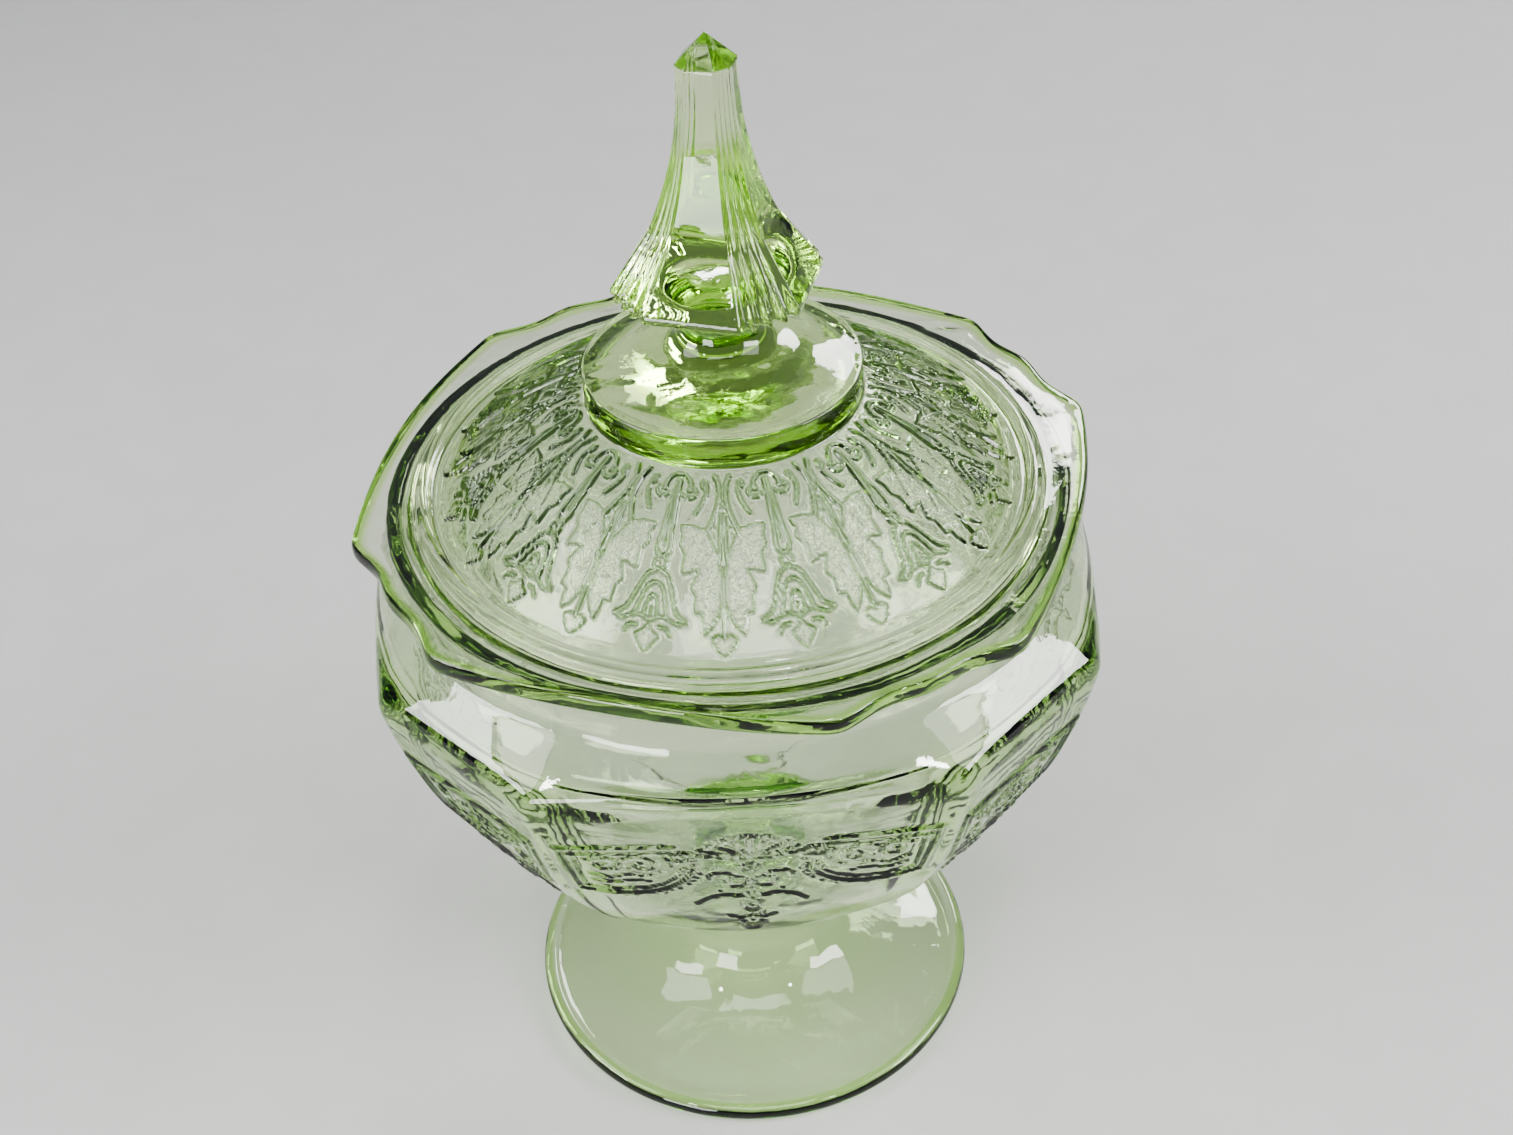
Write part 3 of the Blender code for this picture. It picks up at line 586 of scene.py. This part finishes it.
    # the inside, a wall's thickness in from the outside
    profile = np.array([(rim[0], rim[1] - edge), (rim[0], size["bandBottom"] + 1.2 * mm),
                        (rim[0] + 0.6 * mm, size["bandBottom"] - 0.8 * mm),
                        *line((rim[0] + 0.8 * mm, size["bandBottom"] - 1.0 * mm),
                              np.array(shoulder) - roofSlope * 5 * mm, 5)[:-1],
                        *bezier(np.array(shoulder) - roofSlope * 5 * mm,
                                np.array(shoulder) - roofSlope * 1.5 * mm, atLength(1.5),
                                atLength(5.5), 12),
                        *[atLength(v) for v in np.linspace(6.6, length[-1] - 1.0, 28)]])
    tangent = np.gradient(profile, axis=0)
    tangent /= np.hypot(*tangent.T)[:, None]
    inward = np.stack([tangent[:, 1], -tangent[:, 0]], 1) * size["wall"]
    inner = []
    for point, offset in zip(profile, inward):
        moved = point + offset
        if moved[0] > 0.8 * mm and (not inner or moved[1] < inner[-1][1] - 0.02 * mm):
            inner.append((moved[0], moved[1], point[1]))
    top = [(rim[0] - size["wall"] + edge, rim[1], rim[1])]
    for radius, level in arc((rim[0] - size["wall"] + edge, rim[1] - edge), edge, 90, 180, 4):
        top.append((radius, level, rim[1]))
    rows = [poleRow(size["floorHeight"] + size["wall"])]
    for radius, level, shapeHeight in reversed(top + inner):
        roundness, bow = shapeAt(shapeHeight)
        softer = size["innerRoundness"] + (1 - size["innerRoundness"]) * roundness
        flat = radius * (roundness + (1 - roundness) * bow) / (softer + (1 - softer) * bow)
        columns = roundColumns if radius > size["coreRadius"] else coreColumns

        def reach(azimuth):
            return flat * (softer + (1 - softer) * softShape(azimuth, bow, size["innerSoftness"]))
        rows.append(makeRow(columns, level, reach))
    rows += outer
    rows.append(poleRow(size["hollowHeight"]))
    return rows


# pushes the relief out along the normals, sets the quarter round the axis and welds its edges
def makeRoundTree():
    tree = bpy.data.node_groups.new("roundPiece", "GeometryNodeTree")
    face = tree.interface
    face.new_socket("Geometry", in_out="INPUT", socket_type="NodeSocketGeometry")
    for name, kind, value in (("Sectors", "NodeSocketInt", sectors),
                              ("Relief Height", "NodeSocketFloat", 0.5 * mm),
                              ("Weld Distance", "NodeSocketFloat", weldDistance),
                              ("Glass", "NodeSocketMaterial", None)):
        socket = face.new_socket(name, in_out="INPUT", socket_type=kind)
        if value is not None:
            socket.default_value = value
    face.new_socket("Geometry", in_out="OUTPUT", socket_type="NodeSocketGeometry")

    def add(kind, **settings):
        node = tree.nodes.new(kind)
        for key, value in settings.items():
            setattr(node, key, value)
        return node

    def link(source, target):
        tree.links.new(source, target)
    start, end = add("NodeGroupInput"), add("NodeGroupOutput")
    relief = add("GeometryNodeInputNamedAttribute", data_type="FLOAT")
    relief.inputs["Name"].default_value = "relief"
    tall = add("ShaderNodeMath", operation="MULTIPLY")
    link(relief.outputs["Attribute"], tall.inputs[0])
    link(start.outputs["Relief Height"], tall.inputs[1])
    push = add("ShaderNodeVectorMath", operation="SCALE")
    link(add("GeometryNodeInputNormal").outputs["Normal"], push.inputs[0])
    link(tall.outputs[0], push.inputs["Scale"])
    raised = add("GeometryNodeSetPosition")
    link(start.outputs["Geometry"], raised.inputs["Geometry"])
    link(push.outputs[0], raised.inputs["Offset"])
    spots = add("GeometryNodePoints")
    link(start.outputs["Sectors"], spots.inputs["Count"])
    stepAngle = add("ShaderNodeMath", operation="DIVIDE")
    stepAngle.inputs[0].default_value = 2 * math.pi
    link(start.outputs["Sectors"], stepAngle.inputs[1])
    angle = add("ShaderNodeMath", operation="MULTIPLY")
    link(add("GeometryNodeInputIndex").outputs["Index"], angle.inputs[0])
    link(stepAngle.outputs[0], angle.inputs[1])
    spin = add("ShaderNodeCombineXYZ")
    link(angle.outputs[0], spin.inputs["Z"])
    repeat = add("GeometryNodeInstanceOnPoints")
    link(spots.outputs[0], repeat.inputs["Points"])
    link(raised.outputs["Geometry"], repeat.inputs["Instance"])
    link(spin.outputs[0], repeat.inputs["Rotation"])
    real = add("GeometryNodeRealizeInstances")
    link(repeat.outputs[0], real.inputs[0])
    weld = add("GeometryNodeMergeByDistance")
    link(real.outputs[0], weld.inputs["Geometry"])
    link(start.outputs["Weld Distance"], weld.inputs["Distance"])
    coat = add("GeometryNodeSetMaterial")
    link(weld.outputs["Geometry"], coat.inputs["Geometry"])
    link(start.outputs["Glass"], coat.inputs["Material"])
    link(coat.outputs["Geometry"], end.inputs["Geometry"])
    return tree


def makeRound(name, sector, tree, values):
    holder = bpy.data.objects.new(name + "Sector", sector)
    bpy.context.scene.collection.objects.link(holder)
    modifier = holder.modifiers.new("round", "NODES")
    modifier.node_group = tree
    for item in tree.interface.items_tree:
        if item.item_type == "SOCKET" and item.in_out == "INPUT" and item.name in values:
            modifier[item.identifier] = values[item.name]
    bpy.context.view_layer.update()
    graph = bpy.context.evaluated_depsgraph_get()
    whole = holder.evaluated_get(graph)
    mesh = bpy.data.meshes.new_from_object(whole, preserve_all_data_layers=True, depsgraph=graph)
    mesh.name = name
    holder.modifiers.remove(modifier)
    bpy.data.objects.remove(holder)
    mesh.shade_smooth()
    piece = bpy.data.objects.new(name, mesh)
    bpy.context.scene.collection.objects.link(piece)
    print(name, "faces", len(mesh.polygons), "triangles", sum(len(p.vertices) - 2 for p in mesh.polygons))
    return piece


class Wire:  # one socket of a shader tree, with arithmetic
    def __init__(self, tree, socket=None):
        self.tree, self.socket = tree, socket

    def make(self, kind, settings=None, sockets=None, output=0):
        node = self.tree.nodes.new(kind)
        for key, value in (settings or {}).items():
            if key == "stops":
                for stop, (place, shade) in zip(node.color_ramp.elements, value):
                    stop.position, stop.color = place, shade
            else:
                setattr(node, key, value)
        for key, value in (sockets or {}).items():
            if isinstance(value, Wire):
                self.tree.links.new(value.socket, node.inputs[key])
            else:
                node.inputs[key].default_value = value
        return Wire(self.tree, node.outputs[output])

    def maths(self, operation, first, second=0.0):
        return self.make("ShaderNodeMath", {"operation": operation}, {0: first, 1: second})

    def __add__(self, other):
        return self.maths("ADD", self, other)

    def __rsub__(self, other):
        return self.maths("SUBTRACT", other, self)

    def __mul__(self, other):
        return self.maths("MULTIPLY", self, other)

    def __lt__(self, other):
        return self.maths("LESS_THAN", self, other)


glassLook = {  # the depths are in metres
    "clearTint": (0.985, 1.0, 0.975, 1), "streakTint": (0.955, 0.99, 0.93, 1), "index": 1.51,
    # the line and rim tints below are painted shade, darkening the relief's flanks and the thick rims
    "lineShadeTint": (0.12, 0.27, 0.06, 1), "lineShadeShare": 0.55, "rimShadeTint": (0.42, 0.78, 0.08, 1),
    "roughness": 0.012, "haze": 0.05, "absorb": (0.66, 0.87, 0.32, 1), "density": 72.0,
    "waveScale": 48.0, "waveBump": 0.6, "waveDepth": 0.0012,
    "skinScale": 620.0, "skinBump": 0.05, "skinDepth": 0.0004,
    "stippleScale": 1700.0, "stippleBump": 0.5, "stippleDepth": 0.00022,
    "reliefBump": 0.7, "reliefDepth": 0.0005, "seedScale": 95.0, "seedSize": 0.045, "patchScale": 23.0,
    "shadowTint": (0.40, 0.41, 0.38, 1),
}
lidLook = {**glassLook, "absorb": (0.70, 0.885, 0.26, 1), "density": 66.0, "lineShadeShare": 0.95}


def makeGlass(name, look):
    material = bpy.data.materials.new(name)
    material.use_nodes = True
    tree = material.node_tree
    tree.nodes.clear()
    net = Wire(tree)
    place = net.make("ShaderNodeTexCoord", output="Object")
    wave = net.make("ShaderNodeTexNoise",
                    sockets={"Vector": place, "Scale": look["waveScale"], "Detail": 2.0, "Distortion": 0.6})
    skin = net.make("ShaderNodeTexNoise", sockets={"Vector": place, "Scale": look["skinScale"], "Detail": 3.0})
    grain = net.make("ShaderNodeTexVoronoi", {"feature": "F1"},
                     {"Vector": place, "Scale": look["stippleScale"]}, "Distance")
    stipple = net.make("ShaderNodeAttribute", {"attribute_name": "stipple"}, output="Fac")
    seeds = net.make("ShaderNodeTexVoronoi", {"feature": "F1"}, {"Vector": place, "Scale": look["seedScale"]},
                     "Distance")
    seed = seeds < look["seedSize"]
    patch = net.make("ShaderNodeTexNoise",
                     sockets={"Vector": place, "Scale": look["patchScale"], "Detail": 6.0, "Roughness": 0.62})
    worn = net.make("ShaderNodeValToRGB", {"stops": ((0.42, (0, 0, 0, 1)), (0.78, (1, 1, 1, 1)))},
                    {"Fac": patch})
    scratches = net.make("ShaderNodeMapping",
                         sockets={"Vector": place, "Scale": (70.0, 900.0, 240.0), "Rotation": (0.3, 0.1, 0.7)})
    scuff = net.make("ShaderNodeTexNoise", sockets={"Vector": scratches, "Scale": 1.0, "Detail": 2.0})
    # base colour: random streaks in the glass, then painted shade along the relief's flanks and on the thick
    # rims
    streaksAndPaintedShade = net.make("ShaderNodeMix", {"data_type": "RGBA"},
                      {"Factor": patch, "A": look["clearTint"], "B": look["streakTint"]}, "Result")
    relief = net.make("ShaderNodeAttribute", {"attribute_name": "relief"}, output="Fac")
    # painted shade: the sloping sides of a raised line bend the light away, so the base colour is darkened
    # along them
    flankShade = relief * (1.1 - relief) * 3.2 * (1 - stipple) * look["lineShadeShare"]
    streaksAndPaintedShade = net.make("ShaderNodeMix", {"data_type": "RGBA"},
                      {"Factor": flankShade, "A": streaksAndPaintedShade, "B": look["lineShadeTint"]}, "Result")
    # painted shade on the thick rims, mixed into the base colour
    rim = net.make("ShaderNodeAttribute", {"attribute_name": "rim"}, output="Fac")
    streaksAndPaintedShade = net.make("ShaderNodeMix", {"data_type": "RGBA"},
                      {"Factor": rim, "A": streaksAndPaintedShade, "B": look["rimShadeTint"]}, "Result")
    bump = net.make("ShaderNodeBump",
                    sockets={"Height": wave, "Strength": look["waveBump"], "Distance": look["waveDepth"]},
                    output="Normal")
    bump = net.make("ShaderNodeBump",
                    sockets={"Height": skin + seed * 0.6, "Strength": look["skinBump"],
                             "Distance": look["skinDepth"], "Normal": bump}, output="Normal")
    bump = net.make("ShaderNodeBump",
                    sockets={"Height": (1 - grain) * stipple, "Strength": look["stippleBump"],
                             "Distance": look["stippleDepth"], "Normal": bump}, output="Normal")
    bump = net.make("ShaderNodeBump",
                    sockets={"Height": relief, "Strength": look["reliefBump"],
                             "Distance": look["reliefDepth"], "Normal": bump}, output="Normal")
    rough = worn * look["haze"] * scuff + look["roughness"] + stipple * 0.05 + seed * 0.1
    glass = net.make("ShaderNodeBsdfPrincipled", sockets={
        "Base Color": streaksAndPaintedShade, "Roughness": rough, "Normal": bump, "Metallic": 0.0,
        "Transmission Weight": 1.0, "IOR": look["index"]}, output="BSDF")
    lamp = net.make("ShaderNodeLightPath", output="Is Shadow Ray")
    through = net.make("ShaderNodeBsdfTransparent", sockets={"Color": look["shadowTint"]})
    surface = net.make("ShaderNodeMixShader", sockets={"Fac": lamp, 1: glass, 2: through})
    body = net.make("ShaderNodeVolumeAbsorption", sockets={"Color": look["absorb"], "Density": look["density"]})
    output = tree.nodes.new("ShaderNodeOutputMaterial")
    tree.links.new(surface.socket, output.inputs["Surface"])
    tree.links.new(body.socket, output.inputs["Volume"])
    return material


tree = makeRoundTree()
bowlGlass = makeGlass("bowlGlass", glassLook)
lidGlass = makeGlass("lidGlass", lidLook)

lidPiece = makeRound("lidPiece", joinRows("lidQuarter", lidRows(lidSize), lidSize["turn"]), tree,
                     {"Sectors": sectors, "Relief Height": lidSize["reliefHeight"],
                      "Weld Distance": weldDistance, "Glass": lidGlass})
bowlPiece = makeRound("bowlPiece", joinRows("bowlQuarter", bowlRows(bowlSize), 0), tree,
                      {"Sectors": sectors, "Relief Height": bowlSize["reliefHeight"],
                       "Weld Distance": weldDistance, "Glass": bowlGlass})
for piece, body, node, slot in ((bowlPiece, "bowl", "footed_bowl", "bowl_glass"),
                                (lidPiece, "lid", "lid", "lid_glass")):
    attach(piece, body)
    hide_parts(node)
print("glass pieces made")

stageLook = {
    "floor": (0.45, 0.448, 0.44, 1), "floorFleck": (0.41, 0.408, 0.40, 1), "floorRoughness": 0.85,
    "floorSize": 6, "floorDrop": 0.3 * mm, "world": (0.60, 0.64, 0.72, 1), "worldStrength": 0.32,
}

bpy.ops.mesh.primitive_plane_add(size=stageLook["floorSize"], location=(0, 0, -stageLook["floorDrop"]))
floor = bpy.context.object
floor.name = "studioFloor"
floorMaterial = bpy.data.materials.new("palePaper")
floorMaterial.use_nodes = True
paper = Wire(floorMaterial.node_tree)
shader = floorMaterial.node_tree.nodes["Principled BSDF"]
fibre = paper.make("ShaderNodeTexNoise", sockets={"Scale": 300.0, "Detail": 4.0})
tone = paper.make("ShaderNodeMix", {"data_type": "RGBA"},
                  {"Factor": fibre, "A": stageLook["floor"], "B": stageLook["floorFleck"]}, "Result")
floorMaterial.node_tree.links.new(tone.socket, shader.inputs["Base Color"])
shader.inputs["Roughness"].default_value = stageLook["floorRoughness"]
floor.data.materials.append(floorMaterial)

world = bpy.data.worlds.new("softRoom")
bpy.context.scene.world = world
world.use_nodes = True
back = world.node_tree.nodes["Background"]
back.inputs["Color"].default_value = stageLook["world"]
back.inputs["Strength"].default_value = stageLook["worldStrength"]


def addSoftbox(name, place, target, width, height, power):
    light = bpy.data.lights.new(name, "AREA")
    light.shape = "RECTANGLE"
    light.size, light.size_y, light.energy = width, height, power
    lamp = bpy.data.objects.new(name, light)
    bpy.context.scene.collection.objects.link(lamp)
    lamp.location = place
    lamp.rotation_euler = (Vector(target) - Vector(place)).to_track_quat("-Z", "Y").to_euler()


addSoftbox("overheadBox", (0, -0.50, 0.96), (0, 0, 0.14), 0.62, 0.42, 4.95)
addSoftbox("upperLeftBox", (-0.72, -0.20, 0.72), (0, 0, 0.14), 0.62, 0.42, 4.95)
addSoftbox("upperRightBox", (0.72, -0.20, 0.72), (0, 0, 0.14), 0.62, 0.42, 3.6)
addSoftbox("rightWindow", (0.88, -0.21, 0.42), (0.05, -0.05, 0.12), 0.56, 0.22, 7.65)
addSoftbox("leftWindow", (-0.88, -0.26, 0.42), (-0.05, -0.05, 0.12), 0.46, 0.20, 4.5)
addSoftbox("frontLeftWindow", (-0.52, -0.86, 0.20), (-0.03, -0.05, 0.12), 0.40, 0.28, 5.4)
addSoftbox("backWindow", (0.42, 0.92, 0.74), (0, 0, 0.16), 0.36, 0.26, 5.4)
for number, (x, y, z) in enumerate(((-0.42, -0.62, 0.72), (0.44, -0.64, 0.70), (0.10, 0.10, 1.15))):
    # small lamps that pick out the relief
    addSoftbox("glint" + str(number), (x, y, z), (0, 0, 0.14), 0.06, 0.06, 0.9)

cameraView = {  # metres and radians
    "eye": (0, -0.28853, 0.34599), "yaw": 0.0148, "pitch": 0.6882, "roll": -0.0461,
    "lens": 47.3, "sensor": 36,
}
yaw, pitch, roll = cameraView["yaw"], cameraView["pitch"], cameraView["roll"]
forward = Vector((math.sin(yaw) * math.cos(pitch), math.cos(yaw) * math.cos(pitch), -math.sin(pitch)))
level = forward.cross(Vector((0, 0, 1))).normalized()
upright = level.cross(forward)
right = math.cos(roll) * level + math.sin(roll) * upright
up = -math.sin(roll) * level + math.cos(roll) * upright
cameraData = bpy.data.cameras.new("camera")
cameraData.lens, cameraData.sensor_width = cameraView["lens"], cameraView["sensor"]
camera = bpy.data.objects.new("camera", cameraData)
bpy.context.scene.collection.objects.link(camera)
turn = Matrix((right, up, -forward)).transposed().to_4x4()
camera.matrix_world = Matrix.Translation(Vector(cameraView["eye"])) @ turn
bpy.context.scene.camera = camera
bpy.context.scene.view_settings.look = "AgX - Medium High Contrast"
print("stage ready")
